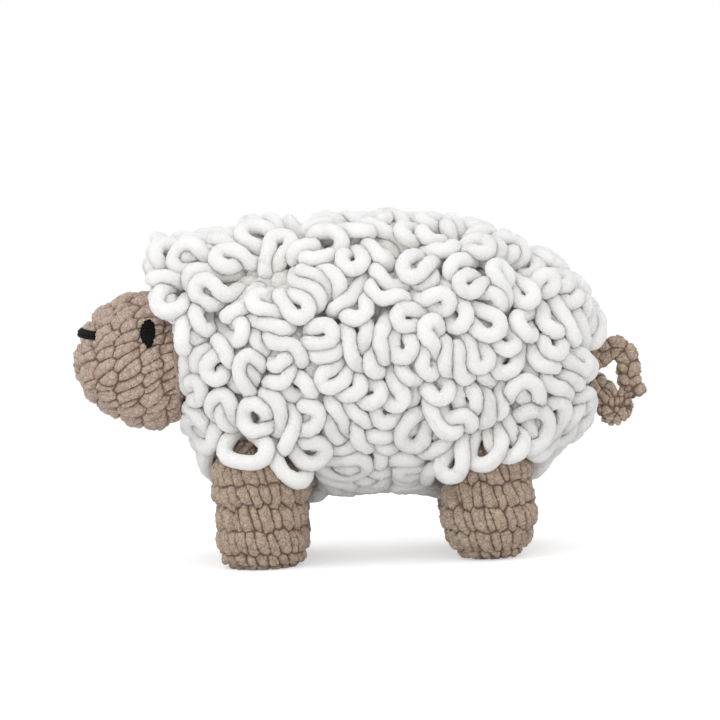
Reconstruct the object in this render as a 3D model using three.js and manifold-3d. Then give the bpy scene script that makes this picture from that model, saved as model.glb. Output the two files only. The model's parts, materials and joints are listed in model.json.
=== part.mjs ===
// A crocheted toy sheep: a white looped body, with a tan head, legs and tail, all stuffed and sewn on.
// Millimetres, +Z up. The head points to -X and the tail to +X, and the soles stand on Z = 0.
// Each limb ends in a ball that sits in a dimple of the body, so it tilts about the ball's centre.
import * as THREE from "three";
import { mergeVertices } from "three/addons/utils/BufferGeometryUtils.js";
import Module from "manifold-3d";

const wasm = await Module();
wasm.setup();

// Yarn and fabric
const fabricWall = 6;
const clearance = 0.3;
const overrun = 5;

// Body: the crocheted ground fabric, and the depth of the loop pile that stands on it
const bodyLength = 200;
const bodyWidth = 98;
const bodyHeight = 105;
const bodyCentreHeight = 103.5;
const pileDepth = 18;
const pileRelief = 9;
const rearDroop = 6;
const frontTopPower = 6;
const frontBellyPower = 4;
const frontPlanPower = 2.4;
const rearPower = 2.3;
const sectionPower = 2.3;
const frontRecedeShare = 0.28;
const evenDrawShare = 0.75;

// Head: a ball with a slightly drawn-out muzzle, pressed into the front of the body
const headRadius = 31;
const muzzleSwell = 5;
const headPressDepth = 17;
const headDrop = 1;
const neckOpeningRadius = 18;
const neckSeamRadius = 1.6;
const neckSeamAngle = 61;
const headTurnAngle = 20;

// Eyes and nose: black yarn stitched on the head
const eyeHeight = 13;
const eyeWidth = 6.6;
const eyeRise = 12.8;
const eyeBack = 3.5;
const stitchSink = 1.2;
const stitchProud = 1;
const noseRise = 11.5;
const noseThickness = 3.2;
const noseHalfAngle = 41;

// Legs: a flat sole, a swelling foot, a waist and the ball at the top
const frontLeg = {
  station: -59,
  ballRadius: 24.5,
  waistRadius: 22.2,
  footRadius: 22.6,
  footHeight: 15,
  soleRadius: 15,
};
const hindLeg = {
  station: 53.5,
  ballRadius: 22.5,
  waistRadius: 21.5,
  footRadius: 23.8,
  footHeight: 24,
  soleRadius: 8,
};
const legSpread = 56;
const legPressDepth = 3;
const legOpeningRadius = 9;
const legSeamRadius = 1.1;
const legSeamAngle = 34;
const legSwingAngle = 15;
const legSplayAngle = 12;

// Tail: a crocheted strap in one loose loop, with a knot-like knob where it doubles back
const tailDrop = 14.5;
const tailBallRadius = 6.5;
const tailPressDepth = 3;
const tailStrapRadius = 4.6;
const tailKnobRadius = 8;
const tailReach = 30;
const tailRise = 15.5;
const tailHang = 18.5;
const tailSideStep = 3;
const tailSeamRadius = 1.2;
const tailSeamAngle = 65;
const tailWagAngle = 12;
const tailLiftAngle = 10;

// Facet counts
const bodySides = 24;
const bodyRings = 14;
const lumpSteps = 6;
const pileSteps = 2 * lumpSteps;
const headSides = 20;
const headRings = 12;
const ballSides = 16;
const ballRings = 10;
const arcSteps = 3;
const topSteps = 5;
const seamSides = 5;
const noseSteps = 8;
const strapSteps = 12;
const strapSides = 8;

const radians = THREE.MathUtils.degToRad;
const alongX = new THREE.Vector3(1, 0, 0);
const backwards = new THREE.Vector3(-1, 0, 0);
const alongZ = new THREE.Vector3(0, 0, 1);

// How far a faceted round must stand out for its flats to lie on the true circle.
const aroundShare = 1 / Math.cos(Math.PI / ballSides);
const ringShare = 1 / Math.cos(Math.PI / ballRings / 2);

// Places that follow from the sizes
const headCentre = new THREE.Vector3(
  headPressDepth - headRadius - bodyLength / 2,
  0,
  bodyCentreHeight - headDrop,
);
const tailCentre = new THREE.Vector3(
  (bodyLength / 2) * superReach(tailDrop / (bodyHeight / 2), rearPower) + tailBallRadius - tailPressDepth,
  0,
  bodyCentreHeight - tailDrop,
);

// The height of a unit superellipse at a share of its half length.
function superReach(share, power) {
  return Math.max(0, 1 - Math.abs(share) ** power) ** (1 / power);
}

// Where a leg's ball is centred: out from the body's axis until its top presses into the fabric.
function legCentre(leg, side) {
  const power = leg.station < 0 ? frontBellyPower : rearPower;
  const drawnBack = leg.station < 0 ? 1 - frontRecedeShare : 1;
  const reachShare = superReach(leg.station / drawnBack / (bodyLength / 2), power);
  const sideways = legSpread / 2;
  const steepness = Math.atan2(bodyHeight, sideways * 2);
  const widthShare = Math.cos(steepness) / (bodyWidth / 2);
  const heightShare = Math.sin(steepness) / (bodyHeight / 2);
  const fabric = (widthShare ** sectionPower + heightShare ** sectionPower) ** (-1 / sectionPower);
  const away = fabric * reachShare + leg.ballRadius - legPressDepth;
  const below = Math.sqrt(away ** 2 - sideways ** 2);
  return new THREE.Vector3(leg.station, side * sideways, bodyCentreHeight - below);
}

// The direction in which a leg's ball presses into the body.
function legPressDirection(leg, side) {
  const centre = legCentre(leg, side);
  return new THREE.Vector3(0, -centre.y, bodyCentreHeight - centre.z).normalize();
}

// A closed surface as a solid, with its shared corners merged and flat slivers left out.
function solidFrom(geometry) {
  const bare = geometry.clone();
  bare.deleteAttribute("normal");
  bare.deleteAttribute("uv");
  const merged = mergeVertices(bare);
  const corners = merged.index.array;
  const triangles = [];
  for (let i = 0; i < corners.length; i += 3) {
    const [a, b, c] = corners.slice(i, i + 3);
    if (a !== b && b !== c && c !== a) triangles.push(a, b, c);
  }
  return new wasm.Manifold(
    new wasm.Mesh({
      numProp: 3,
      vertProperties: new Float32Array(merged.attributes.position.array),
      triVerts: new Uint32Array(triangles),
    }),
  );
}

// A solid as a named piece in its cloth.
function meshFrom(name, solid, material) {
  const { vertProperties, triVerts } = solid.getMesh();
  const geometry = new THREE.BufferGeometry();
  geometry.setAttribute("position", new THREE.BufferAttribute(vertProperties, 3));
  geometry.setIndex(new THREE.BufferAttribute(triVerts, 1));
  geometry.computeVertexNormals();
  const mesh = new THREE.Mesh(geometry, material);
  mesh.name = name;
  return mesh;
}

// The solid moved to a place.
function moved(solid, place) {
  return solid.translate([place.x, place.y, place.z]);
}

// A solid of revolution from [radius, height] pairs, low end first, turned to stand along a direction.
function turned(profile, sides, direction) {
  const points = profile.map(([radius, height]) => new THREE.Vector2(radius, height));
  const geometry = new THREE.LatheGeometry(points, sides);
  const turn = new THREE.Quaternion().setFromUnitVectors(new THREE.Vector3(0, 1, 0), direction);
  return solidFrom(geometry.applyQuaternion(turn));
}

// Points of an arc about the middle of the axis, from one angle above its equator to another.
function arc(radius, from, to, steps) {
  return Array.from({ length: steps + 1 }, (unused, i) => {
    const angle = radians(from + ((to - from) * i) / steps);
    const onAxis = Math.abs(Math.cos(angle)) < Number.EPSILON * 2;
    return [onAxis ? 0 : radius * Math.cos(angle), radius * Math.sin(angle)];
  });
}

function ball(radius, direction) {
  return turned(arc(radius, -90, 90, ballRings), ballSides, direction);
}

// The hollow that a ball of a given radius turns in: its flats clear the ball's corners.
function socket(radius, direction) {
  return ball((radius + clearance) * aroundShare * ringShare, direction);
}

// A straight plug from the ball's centre to just past its surface, along a direction.
function plug(radius, length, direction) {
  const outline = [[0, 0], [radius, 0], [radius, length], [0, length]];
  return turned(outline, ballSides, direction);
}

// A yarn ring lying on a ball, as far from the direction it goes round as the angle says.
function seamRing(ballRadius, yarnRadius, angle, direction) {
  const away = ballRadius + clearance + yarnRadius;
  const outline = Array.from({ length: seamSides + 1 }, (unused, i) => {
    const around = (i / seamSides) * 2 * Math.PI;
    return [
      (away * Math.sin(radians(angle)) + yarnRadius * Math.cos(around)) * aroundShare,
      away * Math.cos(radians(angle)) + yarnRadius * Math.sin(around),
    ];
  });
  outline[seamSides] = outline[0];
  return turned(outline, ballSides, direction);
}

// The space that a seam ring sweeps when its ball tilts by a given angle.
function seamRoom(ballRadius, yarnRadius, angle, tilt, direction) {
  const spare = THREE.MathUtils.radToDeg((yarnRadius + clearance) / ballRadius);
  const low = 90 - angle - tilt - spare;
  const high = 90 - angle + tilt + spare;
  const bulge = 1 / Math.cos(radians((high - low) / arcSteps / 2));
  const outer = (ballRadius + 2 * clearance + 2 * yarnRadius) * aroundShare ** 2 * bulge;
  const inside = arc(ballRadius - clearance, high, low, arcSteps);
  const outside = arc(outer, low, high, arcSteps);
  return turned([...outside, ...inside, outside[0]], ballSides, direction);
}

// A point of the body's soft form, from its share of the half length and a direction round the axis.
// The form is blunt above the head and drawn back under it, and rounder and drooping behind.
function onBody(along, direction, growth) {
  const ahead = along < 0;
  const ring = Math.hypot(direction.y, direction.z) || 1;
  const across = rounded(direction.y / ring, sectionPower);
  const up = rounded(direction.z / ring, sectionPower);
  const frontPower = up > 0 ? frontTopPower : frontBellyPower;
  const plan = superReach(along, ahead ? frontPlanPower : rearPower);
  const profile = superReach(along, ahead ? frontPower : rearPower);
  const recede = ahead ? frontRecedeShare * ((1 - up * profile) / 2) ** 2 : 0;
  const droop = ahead ? 0 : rearDroop * along ** 2;
  return new THREE.Vector3(
    along * (1 - recede) * (bodyLength / 2 + growth),
    across * plan * (bodyWidth / 2 + growth),
    up * profile * (bodyHeight / 2 + growth) - droop + bodyCentreHeight,
  );
}

function bodyForm(growth) {
  const geometry = new THREE.SphereGeometry(1, bodySides, bodyRings).rotateZ(Math.PI / 2);
  const points = geometry.attributes.position;
  for (let i = 0; i < points.count; i++) {
    const direction = new THREE.Vector3().fromBufferAttribute(points, i);
    const along = rounded(direction.x, direction.x < 0 ? frontPlanPower : rearPower);
    points.setXYZ(i, ...onBody(along, direction, growth));
  }
  return solidFrom(geometry);
}

// The outside of the loop pile: the body's form grown by the pile, in rounded lumps of bunched loops.
// They stand on a triangular grid over an icosahedron, whose corners and middles of edges carry one.
function pileForm() {
  const corners = new THREE.IcosahedronGeometry(1).attributes.position;
  const positions = [];
  for (let face = 0; face < corners.count; face += 3) {
    const [a, b, c] = [0, 1, 2].map((i) => new THREE.Vector3().fromBufferAttribute(corners, face + i));
    const gridPoint = (row, column) => {
      const direction = a.clone().multiplyScalar(pileSteps - row - column);
      direction.addScaledVector(b, column).addScaledVector(c, row).normalize();
      const sunk = pileRelief * (1 - lumpShare(row, column));
      return onBody(evenShare(direction), direction, pileDepth - sunk).toArray();
    };
    for (let row = 0; row < pileSteps; row++) {
      for (let column = 0; column < pileSteps - row; column++) {
        const next = gridPoint(row, column + 1);
        const above = gridPoint(row + 1, column);
        positions.push(...gridPoint(row, column), ...next, ...above);
        if (column + row + 1 === pileSteps) continue;
        positions.push(...next, ...gridPoint(row + 1, column + 1), ...above);
      }
    }
  }
  const geometry = new THREE.BufferGeometry();
  geometry.setAttribute("position", new THREE.Float32BufferAttribute(positions, 3));
  return solidFrom(geometry);
}

// How high a grid point stands, from 1 on top of a lump to 0 where three lumps meet: three waves that
// cross at 60 degrees add up to 3 on the tops and to -3 / 2 in the hollows.
function lumpShare(row, column) {
  const first = (2 * column + row) / lumpSteps;
  const second = (row - column) / lumpSteps;
  const waves = [first, second, first + second].map((turns) => Math.cos(turns * 2 * Math.PI));
  const hollow = -waves.length / 2;
  const sum = waves.reduce((total, wave) => total + wave, 0);
  return Math.sqrt(Math.max(0, sum - hollow) / (waves.length - hollow));
}

// A direction's share of the body's half length that spaces the lumps about evenly from end to end.
function evenShare(direction) {
  const along = direction.x * evenDrawShare;
  const power = along < 0 ? frontPlanPower : rearPower;
  const ring = Math.hypot(direction.y, direction.z);
  return along / (Math.abs(along) ** power + ring ** power) ** (1 / power);
}

// A coordinate of a unit circle carried over to a superellipse.
function rounded(share, power) {
  return Math.sign(share) * Math.abs(share) ** (2 / power);
}

// The head's soft form about its own centre, with the muzzle drawn out to -X.
function headForm(inset) {
  const radius = headRadius - inset;
  const geometry = new THREE.SphereGeometry(1, headSides, headRings).rotateZ(Math.PI / 2);
  const points = geometry.attributes.position;
  for (let i = 0; i < points.count; i++) {
    const point = new THREE.Vector3().fromBufferAttribute(points, i);
    const front = Math.max(0, -point.x) ** 3;
    point.multiplyScalar(radius + muzzleSwell * front);
    points.setXYZ(i, point.x, point.y, point.z);
  }
  return solidFrom(geometry);
}

// A leg's soft form about its ball's centre, standing on its flat sole.
function legForm(leg, inset) {
  const sole = inset - legCentre(leg, 1).z;
  const ballRadius = leg.ballRadius - inset;
  const waistRadius = leg.waistRadius - inset;
  const footRadius = leg.footRadius - inset;
  const soleRadius = leg.soleRadius - inset / 2;
  const footTop = sole - inset + leg.footHeight;
  const waistAngle = THREE.MathUtils.radToDeg(Math.acos(waistRadius / ballRadius));
  const waistHeight = -ballRadius * Math.sin(radians(waistAngle));
  const foot = arc(1, -90, 0, arcSteps).map(([wide, low]) => [
    soleRadius + (footRadius - soleRadius) * wide,
    footTop + (footTop - sole) * low,
  ]);
  const shin = [(footRadius + waistRadius) / 2, (footTop + waistHeight) / 2];
  const top = arc(ballRadius, -waistAngle, 90, topSteps);
  return turned([[0, sole], ...foot, shin, ...top], ballSides, alongZ);
}

// The space that a tilting leg and its seam sweep: a ball, and below it a cone that touches it.
function legRoom(leg) {
  const tilt = Math.hypot(legSwingAngle, legSplayAngle);
  const radius = (leg.ballRadius + 2 * clearance + 2 * legSeamRadius) * aroundShare ** 2 * ringShare;
  const fall = legCentre(leg, 1).z;
  const mouth = radius / Math.cos(radians(tilt)) + fall * Math.tan(radians(tilt));
  return turned([[0, -fall], [mouth, -fall], ...arc(radius, tilt, 90, topSteps)], ballSides, alongZ);
}

// The parting in the pile where the tail comes out and moves: as high as its bow and narrower across.
function tailRoom() {
  const high = (tailRise + tailStrapRadius + tailSideStep + 2 * clearance) * aroundShare;
  const mouth = high + tailReach * Math.sin(radians(tailLiftAngle));
  const swing = (tailReach / 2) * Math.sin(radians(tailWagAngle));
  const aside = (tailSideStep + tailStrapRadius + 3 * clearance + swing) * aroundShare;
  const wide = aside / superReach(tailRise / high, 2);
  const parting = turned([[0, 0], [high, 0], [mouth, tailReach], [0, tailReach]], ballSides, alongX);
  return parting.scale([1, (2 * wide) / (high + mouth), 1]).add(socket(tailBallRadius, alongX));
}

// The strap of the tail along a curve through its bends.
function strap(bends) {
  const outline = new THREE.Shape().absarc(0, 0, tailStrapRadius, 0, 2 * Math.PI);
  const geometry = new THREE.ExtrudeGeometry(outline, {
    steps: strapSteps,
    curveSegments: strapSides / 2,
    extrudePath: new THREE.CatmullRomCurve3(bends),
  });
  return solidFrom(geometry);
}

// A straight stitch that lies along the muzzle, half sunk into it.
function noseForm(growth) {
  const radius = noseThickness / 2 + growth;
  const onHead = headRadius + muzzleSwell * Math.cos(Math.asin(noseRise / headRadius)) ** 3;
  const level = Math.sqrt(onHead ** 2 - noseRise ** 2);
  const halfAngle = radians(noseHalfAngle) + growth / level;
  const bends = Array.from({ length: noseSteps + 1 }, (unused, i) => {
    const angle = halfAngle * ((2 * i) / noseSteps - 1);
    return new THREE.Vector3(-level * Math.cos(angle), level * Math.sin(angle), noseRise);
  });
  const outline = new THREE.Shape().absarc(0, 0, radius, 0, 2 * Math.PI);
  const geometry = new THREE.ExtrudeGeometry(outline, {
    steps: noseSteps,
    curveSegments: strapSides / 2,
    extrudePath: new THREE.CatmullRomCurve3(bends),
  });
  return solidFrom(geometry);
}

// A stitched almond on the side of the head, pointed at its foot.
function eyeForm(side, growth) {
  const halfWidth = eyeWidth / 2 + growth;
  const halfHeight = eyeHeight / 2 + growth;
  const outline = new THREE.Shape();
  outline.moveTo(0, -halfHeight);
  outline.quadraticCurveTo(halfWidth, -halfHeight / 2, halfWidth, 0);
  outline.absellipse(0, 0, halfWidth, halfHeight, 0, Math.PI);
  outline.quadraticCurveTo(-halfWidth, -halfHeight / 2, 0, -halfHeight);
  const depth = headRadius;
  const geometry = new THREE.ExtrudeGeometry(outline, {
    depth,
    bevelEnabled: false,
    curveSegments: arcSteps,
  });
  geometry.rotateX(Math.PI / 2).translate(eyeBack, side > 0 ? depth + overrun : -overrun, eyeRise);
  const outer = ball(headRadius + stitchProud + growth, alongX);
  const shell = outer.subtract(ball(headRadius - stitchSink - growth, alongX));
  return solidFrom(geometry).intersect(shell);
}

function cloth(colour) {
  return new THREE.MeshStandardMaterial({ color: colour, roughness: 0.95, metalness: 0 });
}
const whiteYarn = cloth(0xf4f3f0);
const tanYarn = cloth(0xc8b19d);
const blackYarn = cloth(0x17161a);
const filling = cloth(0xfbfaf7);

const legs = [];
for (const [pair, leg] of [["front", frontLeg], ["hind", hindLeg]]) {
  for (const [hand, side] of [["left", -1], ["right", 1]]) {
    legs.push({ name: `${pair}_${hand}_leg`, leg, side });
  }
}

// The hollows that the neck's and the tail's seams sweep, in their places.
function endSeamRooms() {
  return [
    moved(seamRoom(headRadius, neckSeamRadius, neckSeamAngle, headTurnAngle, alongX), headCentre),
    moved(seamRoom(tailBallRadius, tailSeamRadius, tailSeamAngle, tailWagAngle, backwards), tailCentre),
  ];
}

// The hollows that the legs' seams sweep, in their places.
function legSeamRooms() {
  return legs.map(({ leg, side }) => {
    const press = legPressDirection(leg, side);
    const room = seamRoom(leg.ballRadius, legSeamRadius, legSeamAngle, legSwingAngle, press);
    return moved(room, legCentre(leg, side));
  });
}

// The dimples that the limbs' balls turn in.
function dimples() {
  const cuts = [
    moved(socket(headRadius, alongZ), headCentre),
    moved(socket(tailBallRadius, alongX), tailCentre),
  ];
  for (const { leg, side } of legs) {
    cuts.push(moved(socket(leg.ballRadius, legPressDirection(leg, side)), legCentre(leg, side)));
  }
  return cuts;
}

// Ground fabric of the body, open at the neck where the head sits in it.
function bodyCover() {
  const shell = bodyForm(0).subtract(bodyForm(-fabricWall));
  const cuts = [...dimples(), ...endSeamRooms(), ...legSeamRooms()];
  return meshFrom("body_cover", without(shell, cuts), whiteYarn);
}

function bodyStuffing() {
  const fill = bodyForm(-fabricWall - clearance);
  const cuts = [...dimples(), ...endSeamRooms(), ...legSeamRooms()];
  return meshFrom("body_stuffing", without(fill, cuts), filling);
}

// The loop pile that stands on the ground fabric and parts for the head, the legs and the tail.
function fleece() {
  const pile = pileForm().subtract(bodyForm(clearance));
  const rooms = [moved(socket(headRadius, alongZ), headCentre), moved(tailRoom(), tailCentre)];
  for (const { leg, side } of legs) {
    rooms.push(moved(legRoom(leg), legCentre(leg, side)));
  }
  return meshFrom("fleece", without(pile, [...rooms, ...endSeamRooms()]), whiteYarn);
}

function without(solid, cuts) {
  return cuts.reduce((left, cut) => left.subtract(cut), solid);
}

function head() {
  const eyes = { left: -1, right: 1 };
  const group = new THREE.Group();
  group.position.copy(headCentre);
  const reach = headRadius + overrun;
  const opening = plug(neckOpeningRadius, reach, alongX);
  const sockets = Object.values(eyes).map((side) => eyeForm(side, clearance));
  const cuts = [headForm(fabricWall), opening, noseForm(clearance), ...sockets];
  group.add(meshFrom("head_cover", without(headForm(0), cuts), tanYarn));
  const throat = plug(neckOpeningRadius - clearance, reach, alongX).intersect(ball(headRadius, alongX));
  group.add(meshFrom("head_stuffing", headForm(fabricWall + clearance).add(throat), filling));
  for (const [hand, side] of Object.entries(eyes)) {
    group.add(meshFrom(`${hand}_eye`, eyeForm(side, 0), blackYarn));
  }
  group.add(meshFrom("nose_stitch", noseForm(0), blackYarn));
  const seam = seamRing(headRadius, neckSeamRadius, neckSeamAngle, alongX);
  group.add(meshFrom("neck_seam", seam, tanYarn));
  return group;
}

function legGroup({ name, leg, side }) {
  const group = new THREE.Group();
  group.position.copy(legCentre(leg, side));
  const press = legPressDirection(leg, side);
  const reach = leg.ballRadius + overrun;
  const cuts = [legForm(leg, fabricWall), plug(legOpeningRadius, reach, press)];
  group.add(meshFrom(`${name}_cover`, without(legForm(leg, 0), cuts), tanYarn));
  const neck = plug(legOpeningRadius - clearance, reach, press).intersect(ball(leg.ballRadius, alongZ));
  group.add(meshFrom(`${name}_stuffing`, legForm(leg, fabricWall + clearance).add(neck), filling));
  const seam = seamRing(leg.ballRadius, legSeamRadius, legSeamAngle, press);
  group.add(meshFrom(`${name}_seam`, seam, tanYarn));
  return group;
}

function tail() {
  const group = new THREE.Group();
  group.position.copy(tailCentre);
  const upperShares = [
    [0, 0, 0],
    [0.2, 0.2, 0.3],
    [0.45, 0.65, 1],
    [0.76, 1, 1],
    [0.96, 0.6, 0.6],
    [1, -0.1, 0],
  ];
  const lowerShares = [
    [0, 0, 0],
    [0.22, 0.1, -0.3],
    [0.4, 0.42, -1],
    [0.58, 0.8, -1],
    [0.74, 1, -0.6],
  ];
  const upper = upperShares.map(
    ([out, up, aside]) => new THREE.Vector3(out * tailReach, aside * tailSideStep, up * tailRise),
  );
  const lower = lowerShares.map(
    ([out, down, aside]) => new THREE.Vector3(out * tailReach, aside * tailSideStep, -down * tailHang),
  );
  const knobPlace = lower[lower.length - 1];
  const turnBack = [new THREE.Vector3(tailReach, 0, -tailHang / 2), knobPlace];
  const knob = moved(ball(tailKnobRadius, alongZ), knobPlace);
  const loop = strap([...upper, ...turnBack]).add(strap(lower)).add(knob);
  group.add(meshFrom("tail_strap", loop.add(ball(tailBallRadius, alongZ)), tanYarn));
  const seam = seamRing(tailBallRadius, tailSeamRadius, tailSeamAngle, backwards);
  group.add(meshFrom("tail_seam", seam, tanYarn));
  return group;
}

const sheep = new THREE.Group();
sheep.add(bodyCover(), bodyStuffing(), fleece(), head(), tail(), ...legs.map(legGroup));

// The origin lies under the middle of the whole animal.
const box = new THREE.Box3().setFromObject(sheep);
sheep.position.x = -(box.min.x + box.max.x) / 2;

export default sheep;
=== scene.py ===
import json
import math

import bmesh
import bpy
import numpy as np
from mathutils import Matrix, Vector, noise
from mathutils.bvhtree import BVHTree


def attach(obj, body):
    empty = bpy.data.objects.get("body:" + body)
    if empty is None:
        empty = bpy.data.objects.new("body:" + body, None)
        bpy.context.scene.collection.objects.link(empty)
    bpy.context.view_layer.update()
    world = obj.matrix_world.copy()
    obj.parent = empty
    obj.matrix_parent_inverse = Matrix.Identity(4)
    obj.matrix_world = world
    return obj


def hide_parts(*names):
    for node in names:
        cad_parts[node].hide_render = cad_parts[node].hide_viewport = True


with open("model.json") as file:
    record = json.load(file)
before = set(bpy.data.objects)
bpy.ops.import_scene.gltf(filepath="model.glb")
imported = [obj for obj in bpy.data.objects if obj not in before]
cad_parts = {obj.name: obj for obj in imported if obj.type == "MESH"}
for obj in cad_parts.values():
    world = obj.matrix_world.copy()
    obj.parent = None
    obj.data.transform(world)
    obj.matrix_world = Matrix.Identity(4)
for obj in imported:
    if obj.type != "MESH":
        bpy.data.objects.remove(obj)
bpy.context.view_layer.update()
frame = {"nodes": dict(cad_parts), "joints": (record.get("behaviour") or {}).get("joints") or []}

# The place that the toy is shown in: a pale floor that runs back out of sight, soft light from
# above and in front, and a camera square to the toy's left side, a little above its back.
scene = bpy.context.scene
camera = bpy.data.objects.new("camera", bpy.data.cameras.new("camera"))
scene.collection.objects.link(camera)
scene.camera = camera
camera_rise = math.radians(5)
camera_roll = math.radians(-2.3)
camera_away = 3.0
middle_along = -0.0003
middle_height = 0.0983
camera.data.lens = 300
camera.data.sensor_width = 36
camera.location = (
    middle_along,
    -camera_away * math.cos(camera_rise),
    middle_height + camera_away * math.sin(camera_rise),
)
turn = Matrix.Rotation(math.pi / 2 - camera_rise, 4, "X") @ Matrix.Rotation(camera_roll, 4, "Z")
camera.rotation_euler = turn.to_euler()
scene.view_settings.view_transform = "Standard"

floor_glow = 0.45
floor_fades = (0.25, 0.7)
surround_strength = 0.9
lamps_aim = Vector((0, 0, 0.1))

floor_mesh = bpy.data.meshes.new("floor")
bm = bmesh.new()
bmesh.ops.create_grid(bm, x_segments=1, y_segments=1, size=4)
bm.to_mesh(floor_mesh)
bm.free()
floor = bpy.data.objects.new("floor", floor_mesh)
scene.collection.objects.link(floor)
floor_paper = bpy.data.materials.new("floor_paper")
floor_paper.use_nodes = True
floor_mesh.materials.append(floor_paper)
nodes, links = floor_paper.node_tree.nodes, floor_paper.node_tree.links
nodes.clear()
paper = nodes.new("ShaderNodeBsdfDiffuse")
paper.inputs["Color"].default_value = (0.8, 0.8, 0.8, 1)
glow = nodes.new("ShaderNodeEmission")
glow.inputs["Color"].default_value = (1, 1, 1, 1)
seen = nodes.new("ShaderNodeLightPath")
lift = nodes.new("ShaderNodeMath")
lift.operation = "MULTIPLY"
lift.inputs[1].default_value = floor_glow
both = nodes.new("ShaderNodeAddShader")
out = nodes.new("ShaderNodeOutputMaterial")
links.new(seen.outputs["Is Camera Ray"], lift.inputs[0])
links.new(lift.outputs[0], glow.inputs["Strength"])
links.new(paper.outputs[0], both.inputs[0])
links.new(glow.outputs[0], both.inputs[1])
away = nodes.new("ShaderNodeTexCoord")
length = nodes.new("ShaderNodeVectorMath")
length.operation = "LENGTH"
fade = nodes.new("ShaderNodeMapRange")
fade.inputs["From Min"].default_value = floor_fades[0]
fade.inputs["From Max"].default_value = floor_fades[1]
open_air = nodes.new("ShaderNodeBsdfTransparent")
shown = nodes.new("ShaderNodeMixShader")
links.new(away.outputs["Object"], length.inputs[0])
links.new(length.outputs["Value"], fade.inputs["Value"])
links.new(fade.outputs["Result"], shown.inputs["Fac"])
links.new(both.outputs[0], shown.inputs[1])
links.new(open_air.outputs[0], shown.inputs[2])
links.new(shown.outputs[0], out.inputs["Surface"])

world = bpy.data.worlds.new("studio")
scene.world = world
world.use_nodes = True
nodes, links = world.node_tree.nodes, world.node_tree.links
nodes.clear()
around = nodes.new("ShaderNodeBackground")
around.inputs["Color"].default_value = (1, 1, 1, 1)
around.inputs["Strength"].default_value = surround_strength
backdrop = nodes.new("ShaderNodeBackground")
backdrop.inputs["Color"].default_value = (1, 1, 1, 1)
seen = nodes.new("ShaderNodeLightPath")
either = nodes.new("ShaderNodeMath")
either.operation = "MAXIMUM"
each = nodes.new("ShaderNodeMath")
each.operation = "MAXIMUM"
choose = nodes.new("ShaderNodeMixShader")
out = nodes.new("ShaderNodeOutputWorld")
links.new(seen.outputs["Is Camera Ray"], either.inputs[0])
links.new(seen.outputs["Is Glossy Ray"], either.inputs[1])
links.new(either.outputs[0], each.inputs[0])
links.new(seen.outputs["Is Transmission Ray"], each.inputs[1])
links.new(each.outputs[0], choose.inputs["Fac"])
links.new(around.outputs[0], choose.inputs[1])
links.new(backdrop.outputs[0], choose.inputs[2])
links.new(choose.outputs[0], out.inputs["Surface"])

for name, place, size, power in (
    ("softbox_above", (-0.45, -0.55, 1.15), 0.6, 2.0),
    ("softbox_front", (-0.16, -1.4, 0.26), 0.8, 3.7),
):
    lamp = bpy.data.lights.new(name, "AREA")
    lamp.size = size
    lamp.energy = power
    softbox = bpy.data.objects.new(name, lamp)
    softbox.location = place
    softbox.rotation_euler = (Vector(place) - lamps_aim).to_track_quat("Z", "Y").to_euler()
    scene.collection.objects.link(softbox)


# The body: a bag of white chenille yarn, worked in rounds of single crochet and stuffed with fibre.
# It has a hollow where the head, the tail and each leg sit, and shows in the gaps between the loops.
joint_at = {joint["name"]: np.array(joint["pos_m"]) for joint in frame["joints"]}
head_centre = joint_at["head_turn"]
tail_root = joint_at["tail_wag"]
ball_radii = {"front": 0.0245, "hind": 0.0225}
leg_tops = [
    (joint_at[f"{pair}_{hand}_swing"], ball_radii[pair])
    for pair in ("front", "hind")
    for hand in ("left", "right")
]
body_height = 0.1035

# The room that the loops leave free round the head, for the legs to tilt in, and round the tail.
head_clear = 0.0338
crown_clear = 0.002
leg_clear = 0.0028
leg_tilt = math.radians(19.2)
front_limit = -0.0895
over_head = 0.014
over_head_from = 0.1215
over_head_blend = 0.012
ragged_edge = 0.002
parting_start = -0.004
parting_half = (0.0145, 0.0245)
most_parted = 1.5
pressed_yarn = 0.6

# Where the loops and the stitches of the ground may stand: between these ends of the trunk, at a place
# that one of so many rays from outside hits, and no further than this from the nominal surface.
trunk_ends = (-0.062, 0.078)
spot_tries = 9000
ray_start = 0.2
near_surface = 0.0025


def unit(rows):
    return rows / np.linalg.norm(rows, axis=1, keepdims=True)


def merged_copy(node):
    """A node's solid with its corners joined, so that the faces share them."""
    copy = bmesh.new()
    copy.from_mesh(node.data)
    bmesh.ops.remove_doubles(copy, verts=copy.verts, dist=1e-6)
    return copy


class Distance:
    """How far points lie outside a closed solid, read from a grid round it."""

    def __init__(self, node, grow, step, margin):
        solid = merged_copy(node)
        tree = BVHTree.FromBMesh(solid)
        points = np.array([v.co for v in solid.verts])
        solid.free()
        self.low = points.min(0) - margin
        self.step = step
        self.counts = np.ceil((points.max(0) + margin - self.low) / step).astype(int) + 1
        values = np.empty(self.counts)
        for cell in np.ndindex(*self.counts):
            at = Vector(self.low + np.array(cell) * step)
            near, normal, _, far = tree.find_nearest(at)
            values[cell] = far if (at - near).dot(normal) > 0 else -far
        self.values = values - grow
        self.slopes = np.stack(np.gradient(self.values, step), -1)

    def read(self, points):
        spot = np.clip((points - self.low) / self.step, 0, self.counts - 1.001)
        cell = spot.astype(int)
        part = spot - cell
        value = np.zeros(len(points))
        slope = np.zeros((len(points), 3))
        for corner in np.ndindex(2, 2, 2):
            weight = np.prod(np.where(corner, part, 1 - part), 1)
            index = tuple((cell + corner).T)
            value += weight * self.values[index]
            slope += weight[:, None] * self.slopes[index]
        slope /= np.linalg.norm(slope, axis=1, keepdims=True) + 1e-9
        return value, slope


above_ground = Distance(frame["nodes"]["body_stuffing"], grow=0.0063, step=0.005, margin=0.045)


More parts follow.
